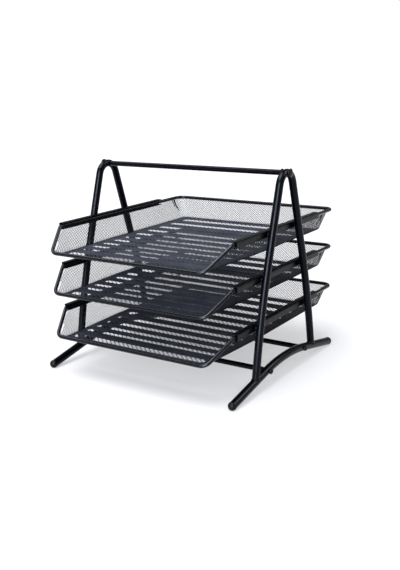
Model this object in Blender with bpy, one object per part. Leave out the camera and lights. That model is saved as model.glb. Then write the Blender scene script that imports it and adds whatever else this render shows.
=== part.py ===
"""Three-tier mesh letter tray: a tube frame with a carrying handle and three pull-out trays.

Metres. +X runs along the handle, +Y points to the back, +Z is up, and the trays pull out
towards -Y. Every piece is drawn with the handle above the origin, on the floor. The last step
moves the origin under the middle of the whole object, because the trays reach further back.
"""
import math

import bmesh
import bpy
from mathutils import Vector

# Gap left between pieces that touch, so that no two solids overlap.
FIT_GAP = 0.0003

# A-frames: one bent steel tube at each side, standing on an arched foot bar.
FRAME_HALF_SPAN = 0.143
LEG_RADIUS = 0.005
TUBE_WALL = 0.001
APEX_HEIGHT = 0.2667
APEX_BEND_RADIUS = 0.0184
LEG_TILT_TOP = math.radians(17.3)
LEG_TILT_FOOT = math.radians(9.0)
LEG_STRAIGHT_LENGTH = 0.0930
LEG_BOW_RADIUS = 1.0
LEG_END_LENGTH = 0.0070
TUBE_SIDES = 16

# Foot bars: arched tubes that stand on a plug at each end.
FOOT_RADIUS = 0.0053
FOOT_ARCH_HEIGHT = 0.0262
FOOT_ARCH_RADIUS = 0.300
FOOT_END_TILT = math.radians(11.0)
FOOT_HALF_LENGTH = 0.136
PLUG_RADIUS = 0.0056
PLUG_SPIGOT_LENGTH = 0.012
PLUG_RINGS = 5

# Round bars that tie the two sides together, each held by a bolt at both ends.
BAR_RADIUS = 0.0035
CROSS_BAR_Y = 0.050
BOLT_SHANK_RADIUS = 0.0019
BOLT_HOLE_RADIUS = 0.0022
BOLT_REACH = 0.0115
TAPPED_HOLE_DEPTH = 0.0125
HANDLE_BOLT_HEAD_RADIUS = 0.0057
FOOT_BOLT_HEAD_RADIUS = 0.0042
BOLT_HEAD_HEIGHT = 0.0024
HEX_SOCKET_RADIUS = 0.00145
HEX_SOCKET_DEPTH = 0.0013
WASHER_RADIUS = 0.0050
WASHER_THICKNESS = 0.0010
BOLT_SIDES = 20

# Rails: C-shaped channels welded inside the legs, open towards the tray.
TIER_HEIGHTS = {"bottom": 0.0824, "middle": 0.1414, "top": 0.1953}
RAIL_FRONT_Y = -0.113
RAIL_BACK_Y = 0.110
RAIL_HEIGHT = 0.0086
RAIL_DEPTH = 0.0084
RAIL_SHEET = 0.0010

# Tray rim: one closed loop of steel wire. Heights are measured from the middle of the rail.
RIM_RADIUS = 0.0025
RIM_HALF_WIDTH = 0.1332
RIM_BACK_Y = 0.167
RIM_BEND_Y = -0.1157
RIM_FRONT_HALF_WIDTH = 0.1164
RIM_FRONT_Y = -0.1532
RIM_FRONT_DROP = 0.0272
RIM_BACK_CORNER = 0.013
RIM_FRONT_CORNER = 0.012
RIM_SIDE_BEND = 0.006
RIM_SIDES = 12

# Mesh basket: side and back walls folded up from a flat floor, all one sheet.
SHEET_THICKNESS = 0.0006
WALL_INSET = 0.0031
WALL_TOP_RISE = 0.0010
FLOOR_DROP = 0.0292
FLOOR_HALF_WIDTH = 0.1195
FLOOR_BACK_Y = 0.157
FLOOR_TAPER_START_Y = -0.030
FLOOR_FRONT_HALF_WIDTH = 0.1131
FLOOR_FRONT_Y = -0.1501
FOLD_RADIUS = 0.004
SIDE_STATION_Y = -0.075
CORNER_STEPS = 5

# Slotted stiffening plate under the mesh floor. The slots close up towards the front, and one
# more slot follows just behind the front edge.
PLATE_THICKNESS = 0.0008
PLATE_HALF_WIDTH = 0.1125
PLATE_FRONT_HALF_WIDTH = 0.1075
PLATE_BACK_Y = 0.151
PLATE_FRONT_Y = -0.1445
SLOT_PITCH_COUNT = 9
SLOT_HALF_LENGTH = 0.103
SLOT_BACK_Y = 0.131
SLOT_BACK_PITCH = 0.0324
SLOT_FRONT_PITCH = 0.0204
SLOT_WIDTH_SHARE = 0.41
FRONT_SLOT_Y = -0.1325
FRONT_SLOT_WIDTH = 0.0115
SLOT_END_STEPS = 3

SIDES = (("left", -1), ("right", 1))
ENDS = (("front", -1), ("rear", 1))


def clear_scene():
    """Remove everything from the scene."""
    for item in list(bpy.data.objects):
        bpy.data.objects.remove(item, do_unlink=True)


def make_material(name, color, metallic, roughness):
    """Return a Principled material."""
    material = bpy.data.materials.new(name)
    material.use_nodes = True
    shader = material.node_tree.nodes["Principled BSDF"]
    shader.inputs["Base Color"].default_value = (*color, 1.0)
    shader.inputs["Metallic"].default_value = metallic
    shader.inputs["Roughness"].default_value = roughness
    return material


def add_object(name, bm, material, smooth=True):
    """Turn a bmesh into a named object with outward normals."""
    bmesh.ops.remove_doubles(bm, verts=bm.verts, dist=0.000001)
    bmesh.ops.recalc_face_normals(bm, faces=bm.faces)
    mesh = bpy.data.meshes.new(name)
    bm.to_mesh(mesh)
    bm.free()
    piece = bpy.data.objects.new(name, mesh)
    bpy.context.collection.objects.link(piece)
    mesh.materials.append(material)
    if smooth:
        mesh.shade_smooth()
        mesh.set_sharp_from_angle(angle=math.radians(35))
    return piece


def cut(piece, cutter):
    """Subtract one object from another and drop the cutter."""
    modifier = piece.modifiers.new("cut", "BOOLEAN")
    modifier.operation = "DIFFERENCE"
    modifier.solver = "EXACT"
    modifier.object = cutter
    bpy.context.view_layer.update()
    evaluated = piece.evaluated_get(bpy.context.evaluated_depsgraph_get())
    mesh = bpy.data.meshes.new_from_object(evaluated)
    piece.modifiers.clear()
    piece.data = mesh
    bpy.data.objects.remove(cutter, do_unlink=True)


def ring_frames(points, closed):
    """Return a side and an up vector at each point of a path, without twist."""
    count = len(points)
    tangents = []
    for index in range(count):
        before = points[index - 1] if closed or index > 0 else points[index]
        after = points[(index + 1) % count] if closed or index < count - 1 else points[index]
        tangents.append((after - before).normalized())
    side = tangents[0].orthogonal().normalized()
    frames = []
    for tangent in tangents:
        side = (side - tangent * side.dot(tangent)).normalized()
        frames.append((side, tangent.cross(side)))
    return frames


def sweep_ring(bm, center, side, up, radius, sides):
    """Add one ring of vertices around a point."""
    ring = []
    for step in range(sides):
        angle = 2.0 * math.pi * step / sides
        ring.append(bm.verts.new(center + radius * (math.cos(angle) * side + math.sin(angle) * up)))
    return ring


def bridge(bm, first, second):
    """Join two rings of equal length with quads."""
    count = len(first)
    for step in range(count):
        after = (step + 1) % count
        bm.faces.new((first[step], first[after], second[after], second[step]))


def sweep(points, radius, sides, inner_radius=0.0, closed=False):
    """Return a bmesh of a round bar, a tube or a closed wire loop along a path."""
    bm = bmesh.new()
    frames = ring_frames(points, closed)
    radii = [radius, inner_radius] if inner_radius else [radius]
    skins = []
    for skin_radius in radii:
        rings = []
        for center, (side, up) in zip(points, frames):
            rings.append(sweep_ring(bm, center, side, up, skin_radius, sides))
        for first, second in zip(rings, rings[1:]):
            bridge(bm, first, second)
        if closed:
            bridge_closing(bm, rings[-1], rings[0])
        skins.append(rings)
    if not closed and inner_radius:
        bridge(bm, skins[0][0], skins[1][0])
        bridge(bm, skins[0][-1], skins[1][-1])
    elif not closed:
        bm.faces.new(skins[0][0])
        bm.faces.new(skins[0][-1])
    return bm


def bridge_closing(bm, last, first):
    """Join the last ring of a loop to the first, lining up the nearest vertices."""
    count = len(first)
    offset = min(range(count), key=lambda step: (first[step].co - last[0].co).length)
    turned = [first[(step + offset) % count] for step in range(count)]
    bridge(bm, last, turned)


def turned_profile(profile, sides, origin, axis):
    """Return a bmesh turned from (distance along axis, radius) pairs."""
    bm = bmesh.new()
    side = axis.orthogonal().normalized()
    up = axis.cross(side)
    rings = []
    for along, radius in profile:
        center = origin + axis * along
        if radius == 0.0:
            rings.append([bm.verts.new(center)])
        else:
            rings.append(sweep_ring(bm, center, side, up, radius, sides))
    for first, second in zip(rings, rings[1:]):
        if len(first) == 1 or len(second) == 1:
            tip, ring = (first[0], second) if len(first) == 1 else (second[0], first)
            for step in range(sides):
                bm.faces.new((tip, ring[step], ring[(step + 1) % sides]))
        else:
            bridge(bm, first, second)
    if len(rings[0]) > 1:
        bm.faces.new(rings[0])
    if len(rings[-1]) > 1:
        bm.faces.new(rings[-1])
    return bm


def cylinder_cutter(start, end, radius, sides):
    """Return a plain cylinder object used only for cutting."""
    bm = sweep([start, end], radius, sides)
    piece = add_object("cutter", bm, METALS["steel"], smooth=False)
    piece.hide_render = True
    piece.display_type = "WIRE"
    return piece


def arc(center, radius, start, end, steps):
    """Return (across, up) points on a circle between two angles, both ends included."""
    points = []
    for step in range(steps + 1):
        angle = start + (end - start) * step / steps
        points.append((center[0] + radius * math.cos(angle), center[1] + radius * math.sin(angle)))
    return points


def rounded_corner(before, corner, after, radius, steps):
    """Return points round one corner of a 3D path."""
    back = (before - corner).normalized()
    ahead = (after - corner).normalized()
    half_angle = back.angle(ahead) / 2.0
    setback = radius / math.tan(half_angle)
    center = corner + (back + ahead).normalized() * radius / math.sin(half_angle)
    start = corner + back * setback - center
    end = corner + ahead * setback - center
    turn = start.angle(end)
    points = []
    for step in range(steps + 1):
        share = step / steps
        weight_start = math.sin((1.0 - share) * turn) / math.sin(turn)
        weight_end = math.sin(share * turn) / math.sin(turn)
        points.append(center + start * weight_start + end * weight_end)
    return points


def rounded_path(corners, radii, steps):
    """Return a closed path through 3D corners, each rounded with its own radius."""
    path = []
    count = len(corners)
    for index, corner in enumerate(corners):
        path += rounded_corner(corners[index - 1], corner, corners[(index + 1) % count], radii[index], steps)
    return path


# ---------------------------------------------------------------- frame


def leg_profile():
    """Return (y, z) points of the rear leg, from the apex down to the foot bar."""
    arc_center_z = APEX_HEIGHT - APEX_BEND_RADIUS
    points = arc((0.0, arc_center_z), APEX_BEND_RADIUS, math.pi / 2.0, LEG_TILT_TOP, 5)
    y, z = points[-1]
    y += LEG_STRAIGHT_LENGTH * math.sin(LEG_TILT_TOP)
    z -= LEG_STRAIGHT_LENGTH * math.cos(LEG_TILT_TOP)
    bow_center = (y - LEG_BOW_RADIUS * math.cos(LEG_TILT_TOP), z - LEG_BOW_RADIUS * math.sin(LEG_TILT_TOP))
    points += bow_points(bow_center)
    y, z = points[-1]
    y += LEG_END_LENGTH * math.sin(LEG_TILT_FOOT)
    z -= LEG_END_LENGTH * math.cos(LEG_TILT_FOOT)
    points.append((y, z))
    return points


def bow_points(center):
    """Return the gently bowed lower part of a leg."""
    return arc(center, LEG_BOW_RADIUS, LEG_TILT_TOP, LEG_TILT_FOOT, 5)


def foot_height(y):
    """Return the height of the foot bar's centre line at a distance from the middle."""
    arc_end_y = FOOT_ARCH_RADIUS * math.sin(FOOT_END_TILT)
    if abs(y) < arc_end_y:
        return FOOT_ARCH_HEIGHT - FOOT_ARCH_RADIUS + math.sqrt(FOOT_ARCH_RADIUS ** 2 - y ** 2)
    arc_end_z = FOOT_ARCH_HEIGHT - FOOT_ARCH_RADIUS * (1.0 - math.cos(FOOT_END_TILT))
    return arc_end_z - (abs(y) - arc_end_y) * math.tan(FOOT_END_TILT)


def foot_path(x):
    """Return the centre line of a foot bar."""
    arc_end_y = FOOT_ARCH_RADIUS * math.sin(FOOT_END_TILT)
    stations = [-FOOT_HALF_LENGTH]
    stations += [arc_end_y * step / 3.0 for step in range(-3, 4)]
    stations += [FOOT_HALF_LENGTH]
    return [Vector((x, y, foot_height(y))) for y in stations]


def build_a_frame(side, sign):
    """Build one bent tube, coped onto its foot bar and drilled for the handle bolt."""
    x = sign * FRAME_HALF_SPAN
    rear = [Vector((x, y, z)) for y, z in leg_profile()]
    front = [Vector((x, -point.y, point.z)) for point in reversed(rear[1:])]
    bm = sweep(front + rear, LEG_RADIUS, TUBE_SIDES, LEG_RADIUS - TUBE_WALL)
    piece = add_object(f"{side}_a_frame_tube", bm, METALS["black steel"])
    cope = sweep(foot_path(x), FOOT_RADIUS + FIT_GAP, TUBE_SIDES)
    cut(piece, add_object("cope", cope, METALS["black steel"], smooth=False))
    reach = Vector((2.0 * LEG_RADIUS, 0.0, 0.0))
    apex = Vector((x, 0.0, APEX_HEIGHT))
    cut(piece, cylinder_cutter(apex - reach, apex + reach, BOLT_HOLE_RADIUS, BOLT_SIDES))


def build_foot_bar(side, sign):
    """Build one arched foot tube, drilled for the two cross bar bolts."""
    x = sign * FRAME_HALF_SPAN
    bm = sweep(foot_path(x), FOOT_RADIUS, TUBE_SIDES, FOOT_RADIUS - TUBE_WALL)
    piece = add_object(f"{side}_foot_bar", bm, METALS["black steel"])
    reach = Vector((2.0 * FOOT_RADIUS, 0.0, 0.0))
    for y in (-CROSS_BAR_Y, CROSS_BAR_Y):
        center = Vector((x, y, foot_height(y)))
        cut(piece, cylinder_cutter(center - reach, center + reach, BOLT_HOLE_RADIUS, BOLT_SIDES))


def build_foot_plug(end, end_sign, side, sign):
    """Build a domed plastic plug with a flat underside to stand on."""
    tip = Vector((sign * FRAME_HALF_SPAN, end_sign * FOOT_HALF_LENGTH, foot_height(FOOT_HALF_LENGTH)))
    axis = Vector((0.0, end_sign * math.cos(FOOT_END_TILT), -math.sin(FOOT_END_TILT)))
    spigot_radius = FOOT_RADIUS - TUBE_WALL - FIT_GAP
    profile = [(-PLUG_SPIGOT_LENGTH, spigot_radius), (FIT_GAP, spigot_radius), (FIT_GAP, PLUG_RADIUS)]
    for step in range(1, PLUG_RINGS):
        angle = math.pi / 2.0 * step / PLUG_RINGS
        profile.append((FIT_GAP + PLUG_RADIUS * math.sin(angle), PLUG_RADIUS * math.cos(angle)))
    profile.append((FIT_GAP + PLUG_RADIUS, 0.0))
    bm = turned_profile(profile, TUBE_SIDES, tip, axis)
    trim = bmesh.ops.bisect_plane(
        bm, geom=bm.verts[:] + bm.edges[:] + bm.faces[:], plane_co=(0.0, 0.0, 0.0),
        plane_no=(0.0, 0.0, -1.0), clear_outer=True)
    rim_edges = [item for item in trim["geom_cut"] if isinstance(item, bmesh.types.BMEdge)]
    bmesh.ops.contextual_create(bm, geom=rim_edges)
    add_object(f"{end}_{side}_foot_plug", bm, METALS["black plastic"])


def build_tie_bar(name, y, z, half_length):
    """Build a round bar along X with a tapped hole in each end."""
    ends = [Vector((-half_length, y, z)), Vector((half_length, y, z))]
    piece = add_object(name, sweep(ends, BAR_RADIUS, TUBE_SIDES), METALS["black steel"])
    for end in ends:
        outward = Vector((math.copysign(1.0, end.x), 0.0, 0.0))
        start = end - outward * TAPPED_HOLE_DEPTH
        cut(piece, cylinder_cutter(start, end + outward * FIT_GAP, BOLT_HOLE_RADIUS, BOLT_SIDES))


def build_bolt(name, sign, seat, y, z, bar_end, head_radius):
    """Build a domed bolt along X, from its head outside the tube into the tie bar."""
    axis = Vector((float(sign), 0.0, 0.0))
    origin = Vector((sign * seat, y, z))
    shank_start = bar_end - BOLT_REACH - seat
    profile = [
        (shank_start, BOLT_SHANK_RADIUS),
        (0.0, BOLT_SHANK_RADIUS),
        (0.0, head_radius),
        (0.35 * BOLT_HEAD_HEIGHT, head_radius),
        (0.75 * BOLT_HEAD_HEIGHT, 0.85 * head_radius),
        (BOLT_HEAD_HEIGHT, 0.55 * head_radius),
    ]
    piece = add_object(name, turned_profile(profile, BOLT_SIDES, origin, axis), METALS["steel"])
    floor = origin + axis * (BOLT_HEAD_HEIGHT - HEX_SOCKET_DEPTH)
    top = origin + axis * (BOLT_HEAD_HEIGHT + FIT_GAP)
    cut(piece, cylinder_cutter(floor, top, HEX_SOCKET_RADIUS, 6))


def build_washer(side, sign):
    """Build the flat washer between the handle and the inside of an apex."""
    outer = FRAME_HALF_SPAN - LEG_RADIUS - FIT_GAP
    inner = outer - WASHER_THICKNESS
    ends = [Vector((sign * inner, 0.0, APEX_HEIGHT)), Vector((sign * outer, 0.0, APEX_HEIGHT))]
    bm = sweep(ends, WASHER_RADIUS, BOLT_SIDES, BOLT_HOLE_RADIUS)
    add_object(f"{side}_handle_washer", bm, METALS["steel"])


def build_tie_bars():
    """Build the handle, the two cross bars and everything that bolts them on."""
    handle_half = FRAME_HALF_SPAN - LEG_RADIUS - WASHER_THICKNESS - 2.0 * FIT_GAP
    build_tie_bar("handle_bar", 0.0, APEX_HEIGHT, handle_half)
    cross_half = FRAME_HALF_SPAN - FOOT_RADIUS - FIT_GAP
    for end, end_sign in ENDS:
        y = end_sign * CROSS_BAR_Y
        build_tie_bar(f"{end}_cross_bar", y, foot_height(y), cross_half)
    for side, sign in SIDES:
        build_washer(side, sign)
        seat = FRAME_HALF_SPAN + LEG_RADIUS + FIT_GAP
        build_bolt(f"{side}_handle_bolt", sign, seat, 0.0, APEX_HEIGHT, handle_half,
                   HANDLE_BOLT_HEAD_RADIUS)
        seat = FRAME_HALF_SPAN + FOOT_RADIUS + FIT_GAP
        for end, end_sign in ENDS:
            y = end_sign * CROSS_BAR_Y
            build_bolt(f"{end}_{side}_foot_bolt", sign, seat, y, foot_height(y), cross_half,
                       FOOT_BOLT_HEAD_RADIUS)


def build_rail(side, sign, tier, height):
    """Build one C-shaped channel with its open side towards the tray."""
    outer = FRAME_HALF_SPAN - LEG_RADIUS - FIT_GAP
    inner = outer - RAIL_DEPTH
    half = RAIL_HEIGHT / 2.0
    profile = [
        (inner, -half), (outer, -half), (outer, half), (inner, half),
        (inner, half - RAIL_SHEET), (outer - RAIL_SHEET, half - RAIL_SHEET),
        (outer - RAIL_SHEET, RAIL_SHEET - half), (inner, RAIL_SHEET - half),
    ]
    bm = bmesh.new()
    ends = []
    for y in (RAIL_FRONT_Y, RAIL_BACK_Y):
        ends.append([bm.verts.new((sign * x, y, height + z)) for x, z in profile])
    bridge(bm, ends[0], ends[1])
    for end in ends:
        bm.faces.new(end)
    add_object(f"{side}_{tier}_rail", bm, METALS["black steel"], smooth=False)


# ---------------------------------------------------------------- trays


def build_rim(tier, height):
    """Build the wire loop: high at the back and sides, sloping down to a low front edge."""
    low = height - RIM_FRONT_DROP
    corners = [
        Vector((-RIM_FRONT_HALF_WIDTH, RIM_FRONT_Y, low)),
        Vector((RIM_FRONT_HALF_WIDTH, RIM_FRONT_Y, low)),
        Vector((RIM_HALF_WIDTH, RIM_BEND_Y, height)),
        Vector((RIM_HALF_WIDTH, RIM_BACK_Y, height)),
        Vector((-RIM_HALF_WIDTH, RIM_BACK_Y, height)),
        Vector((-RIM_HALF_WIDTH, RIM_BEND_Y, height)),
    ]
    radii = [RIM_FRONT_CORNER, RIM_FRONT_CORNER, RIM_SIDE_BEND,
             RIM_BACK_CORNER, RIM_BACK_CORNER, RIM_SIDE_BEND]
    path = rounded_path(corners, radii, CORNER_STEPS)
    bm = sweep(path, RIM_RADIUS, RIM_SIDES, closed=True)
    add_object(f"{tier}_tray_rim", bm, METALS["black steel"])


def floor_half_width(y):
    """Return half the floor's width, which narrows towards the front."""
    if y > FLOOR_TAPER_START_Y:
        return FLOOR_HALF_WIDTH
    share = (FLOOR_TAPER_START_Y - y) / (FLOOR_TAPER_START_Y - FLOOR_FRONT_Y)
    return FLOOR_HALF_WIDTH + share * (FLOOR_FRONT_HALF_WIDTH - FLOOR_HALF_WIDTH)


def wall_stations():
    """Return (wall top, floor edge) pairs round the right half, from front to back.

    Heights are measured from the middle of the rail. The wall's top follows the rim wire.
    """
    front = Vector((RIM_FRONT_HALF_WIDTH - WALL_INSET, RIM_FRONT_Y + WALL_INSET, -RIM_FRONT_DROP))
    bend = Vector((RIM_HALF_WIDTH - WALL_INSET, RIM_BEND_Y, WALL_TOP_RISE))
    back = Vector((bend.x, RIM_BACK_Y - WALL_INSET, WALL_TOP_RISE))
    floor_middle = Vector((0.0, FLOOR_FRONT_Y, -FLOOR_DROP))
    floor_front = Vector((FLOOR_FRONT_HALF_WIDTH, FLOOR_FRONT_Y, -FLOOR_DROP))
    floor_side = Vector((FLOOR_HALF_WIDTH, FLOOR_TAPER_START_Y, -FLOOR_DROP))
    floor_back = Vector((FLOOR_HALF_WIDTH, FLOOR_BACK_Y, -FLOOR_DROP))
    corner = RIM_FRONT_CORNER - WALL_INSET
    tops = rounded_corner(Vector((0.0, front.y, front.z)), front, bend, corner, CORNER_STEPS)
    feet = rounded_corner(floor_middle, floor_front, floor_side, corner, CORNER_STEPS)
    for share in (0.34, 0.67, 1.0):
        tops.append(tops[CORNER_STEPS].lerp(bend, share))
        y = feet[CORNER_STEPS].y + share * (RIM_BEND_Y - feet[CORNER_STEPS].y)
        feet.append(Vector((floor_half_width(y), y, -FLOOR_DROP)))
    for y in (SIDE_STATION_Y, FLOOR_TAPER_START_Y, -SIDE_STATION_Y):
        tops.append(Vector((bend.x, y, WALL_TOP_RISE)))
        feet.append(Vector((floor_half_width(y), y, -FLOOR_DROP)))
    corner = RIM_BACK_CORNER - WALL_INSET
    tops += rounded_corner(bend, back, Vector((0.0, back.y, back.z)), corner, CORNER_STEPS)
    feet += rounded_corner(floor_side, floor_back, Vector((0.0, floor_back.y, floor_back.z)), corner, CORNER_STEPS)
    return list(zip(tops, feet))


def wall_profile(top, foot, inward):
    """Return points from the wall's top edge, round the fold, onto the floor."""
    wall = top - foot
    radius = min(FOLD_RADIUS, 0.45 * wall.length)
    first = foot + wall.normalized() * radius
    last = foot + inward * radius
    middle = foot * 0.5 + (first + last) * 0.25
    return [top, first, middle, last]


def build_basket(tier, height):
    """Build the folded mesh sheet as one thin shell."""
    right = wall_stations()
    left = [(Vector((-top.x, top.y, top.z)), Vector((-foot.x, foot.y, foot.z))) for top, foot in reversed(right)]
    stations = right + left
    bm = bmesh.new()
    lift = Vector((0.0, 0.0, height))
    columns = []
    count = len(stations)
    for index, (top, foot) in enumerate(stations):
        along = stations[(index + 1) % count][1] - stations[index - 1][1]
        inward = Vector((-along.y, along.x, 0.0)).normalized()
        columns.append([bm.verts.new(point + lift) for point in wall_profile(top, foot, inward)])
    for index in range(count):
        here = columns[index]
        after = columns[(index + 1) % count]
        for low in range(len(here) - 1):
            bm.faces.new((here[low], here[low + 1], after[low + 1], after[low]))
    bm.faces.new([column[-1] for column in columns])
    piece = add_object(f"{tier}_tray_mesh_basket", bm, METALS["black mesh"])
    thicken = piece.modifiers.new("sheet", "SOLIDIFY")
    thicken.thickness = SHEET_THICKNESS
    thicken.offset = 0.0
    thicken.use_even_offset = True


def slots():
    """Return (middle line, width) of every slot, from back to front."""
    y = SLOT_BACK_Y
    found = []
    for step in range(SLOT_PITCH_COUNT + 1):
        share = step / (SLOT_PITCH_COUNT - 1)
        pitch = SLOT_BACK_PITCH + share * (SLOT_FRONT_PITCH - SLOT_BACK_PITCH)
        found.append((y, SLOT_WIDTH_SHARE * pitch))
        y -= pitch
    found.append((FRONT_SLOT_Y, FRONT_SLOT_WIDTH))
    return found


def slot_outline(center_y, half_width):
    """Return a slot's outline with rounded ends."""
    straight = SLOT_HALF_LENGTH - half_width
    right = arc((straight, center_y), half_width, -math.pi / 2.0, math.pi / 2.0, SLOT_END_STEPS)
    left = arc((-straight, center_y), half_width, math.pi / 2.0, 3.0 * math.pi / 2.0, SLOT_END_STEPS)
    return right + left


def build_floor_plate(tier, height):
    """Build the flat stiffening plate with its row of slots."""
    top = height - FLOOR_DROP - SHEET_THICKNESS / 2.0 - FIT_GAP
    outline = [
        (-PLATE_FRONT_HALF_WIDTH, PLATE_FRONT_Y), (PLATE_FRONT_HALF_WIDTH, PLATE_FRONT_Y),
        (PLATE_HALF_WIDTH, FLOOR_TAPER_START_Y), (PLATE_HALF_WIDTH, PLATE_BACK_Y),
        (-PLATE_HALF_WIDTH, PLATE_BACK_Y), (-PLATE_HALF_WIDTH, FLOOR_TAPER_START_Y),
    ]
    outlines = [outline]
    for center_y, width in slots():
        outlines.append(slot_outline(center_y, width / 2.0))
    bm = bmesh.new()
    edges = []
    for loop in outlines:
        verts = [bm.verts.new((x, y, top)) for x, y in loop]
        for first, second in zip(verts, verts[1:] + verts[:1]):
            edges.append(bm.edges.new((first, second)))
    bmesh.ops.triangle_fill(bm, use_beauty=True, edges=edges, normal=(0.0, 0.0, 1.0))
    lower = bmesh.ops.extrude_face_region(bm, geom=bm.faces[:])
    moved = [item for item in lower["geom"] if isinstance(item, bmesh.types.BMVert)]
    bmesh.ops.translate(bm, verts=moved, vec=(0.0, 0.0, -PLATE_THICKNESS))
    add_object(f"{tier}_tray_floor_plate", bm, METALS["black steel"], smooth=False)


clear_scene()
METALS = {
    "black steel": make_material("black_powder_coat", (0.018, 0.019, 0.022), 0.0, 0.42),
    "black mesh": make_material("black_coated_mesh", (0.022, 0.023, 0.026), 0.0, 0.50),
    "steel": make_material("black_zinc_steel", (0.045, 0.045, 0.048), 0.9, 0.38),
    "black plastic": make_material("black_plastic", (0.020, 0.020, 0.021), 0.0, 0.55),
}
for side_name, side_sign in SIDES:
    build_a_frame(side_name, side_sign)
    build_foot_bar(side_name, side_sign)
    for end_name, end_direction in ENDS:
        build_foot_plug(end_name, end_direction, side_name, side_sign)
    for tier_name, tier_height in TIER_HEIGHTS.items():
        build_rail(side_name, side_sign, tier_name, tier_height)
build_tie_bars()
for tier_name, tier_height in TIER_HEIGHTS.items():
    build_rim(tier_name, tier_height)
    build_basket(tier_name, tier_height)
    build_floor_plate(tier_name, tier_height)
for built_piece in bpy.data.objects:
    built_piece.location.y = -(RIM_BACK_Y + RIM_FRONT_Y) / 2.0
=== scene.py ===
"""The looks of a three-tier mesh letter tray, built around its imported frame.

Metres, in the frame's own axes: +X along the handle, +Y to the back, +Z up. Pieces are drawn with
the handle above y = 0 and then set back by the handle's place in the frame.
"""
import math

import bmesh
import bpy
import numpy as np
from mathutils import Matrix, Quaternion, Vector


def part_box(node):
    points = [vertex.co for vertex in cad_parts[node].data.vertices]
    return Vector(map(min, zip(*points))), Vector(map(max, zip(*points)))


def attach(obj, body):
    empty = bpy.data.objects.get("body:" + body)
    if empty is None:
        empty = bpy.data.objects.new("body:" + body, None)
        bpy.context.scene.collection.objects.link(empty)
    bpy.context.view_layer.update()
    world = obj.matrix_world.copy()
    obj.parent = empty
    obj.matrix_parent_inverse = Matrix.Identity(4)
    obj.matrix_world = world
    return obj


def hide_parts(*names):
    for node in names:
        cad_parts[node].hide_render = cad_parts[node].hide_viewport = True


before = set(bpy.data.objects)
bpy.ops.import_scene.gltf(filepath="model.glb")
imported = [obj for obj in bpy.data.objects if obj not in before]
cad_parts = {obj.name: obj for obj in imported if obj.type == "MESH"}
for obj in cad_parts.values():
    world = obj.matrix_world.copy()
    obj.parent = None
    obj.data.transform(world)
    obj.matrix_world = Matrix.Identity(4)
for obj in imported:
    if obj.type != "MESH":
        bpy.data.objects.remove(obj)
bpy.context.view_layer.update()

SHARP_ANGLE = math.radians(38)
SIDES = (("left", -1), ("right", 1))
ENDS = (("front", -1), ("rear", 1))
TIERS = ("bottom", "middle", "top")

# A-frames and foot bars.
LEG_RADIUS = 0.005
APEX_BEND_RADIUS = 0.0184
LEG_TILT_TOP = math.radians(17.3)
LEG_TILT_FOOT = math.radians(9.0)
LEG_STRAIGHT_LENGTH = 0.0930
LEG_BOW_RADIUS = 1.0
LEG_END_LENGTH = 0.0070
FOOT_RADIUS = 0.0053
FOOT_ARCH_RADIUS = 0.300
FOOT_END_TILT = math.radians(11.0)
FOOT_HALF_LENGTH = 0.136
PLUG_RADIUS = 0.0056
PLUG_COLLAR = 0.0008
PLUG_NECK_RADIUS = 0.9 * FOOT_RADIUS
PLUG_EDGE = 0.00015
PLUG_EDGE_RADIUS = 0.97 * PLUG_RADIUS
TUBE_SIDES = 40
APEX_STEPS = 18
BOW_STEPS = 14
FOOT_ARCH_STEPS = 12
DOME_STEPS = 10

# Bars, bolts and washers.
BAR_RADIUS = 0.0035
BAR_CHAMFER = 0.0005
CROSS_BAR_Y = 0.050
BOLT_HEAD_HEIGHT = 0.0024
HANDLE_BOLT_RADIUS = 0.0057
FOOT_BOLT_RADIUS = 0.0042
BOLT_SHANK_RADIUS = 0.0019
BOLT_SIDES = 48
BOLT_REACH = 0.0115
HEX_SOCKET_RADIUS = 0.0016
HEX_SOCKET_DEPTH = 0.0014
WASHER_RADIUS = 0.0050
WASHER_THICKNESS = 0.0010
WASHER_CHAMFER = 0.0002
FIT_GAP = 0.0003

# Rails.
RAIL_DEPTH = 0.0084
RAIL_HEIGHT = 0.0086
RAIL_SHEET = 0.0010
RAIL_BEND_RADIUS = 0.0014

# Tray rims, measured from the height of the rail's middle.
RIM_RADIUS = 0.0025
RIM_HALF_WIDTH = 0.1332
RIM_BACK_Y = 0.167
RIM_BEND_Y = -0.1157
RIM_FRONT_HALF_WIDTH = 0.1164
RIM_FRONT_Y = -0.1532
RIM_FRONT_DROP = 0.0272
RIM_BACK_CORNER = 0.013
RIM_FRONT_CORNER = 0.012
RIM_SIDE_BEND = 0.006
RIM_SIDES = 28
RIM_STEPS = 14
CORNER_STEPS = 12

# Mesh basket.
WALL_INSET = 0.0031
FLOOR_DROP = 0.0292
FLOOR_HALF_WIDTH = 0.1195
FLOOR_BACK_Y = 0.157
FLOOR_TAPER_START_Y = -0.030
FLOOR_FRONT_HALF_WIDTH = 0.1131
FLOOR_FRONT_Y = -0.1501
FOLD_RADIUS = 0.004
FLOOR_OVERLAP = 0.003
WALL_REACH = 0.0012
FOLD_LENGTH_RATIO = 1.6
LOW_WALL_FOLD_SHARE = 0.45

# The diamond mesh: the long way of a diamond runs along the sheet, the short way across it.
WALL_MESH = {"long": 0.0042, "short": 0.0028, "strand": 0.00049, "thickness": 0.00036}
FLOOR_MESH = {"long": 0.0070, "short": 0.0062, "strand": 0.00105, "thickness": 0.00010}

# Pleats at the rear corners: place along the sheet, lean, depth down the wall and radius.
PLEATS = ((-0.0180, 0.0090, 0.60, 0.0011), (-0.0220, 0.0060, 0.42, 0.0006))
PLEAT_STEPS = 14
PLEAT_SIDES = 10

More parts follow.
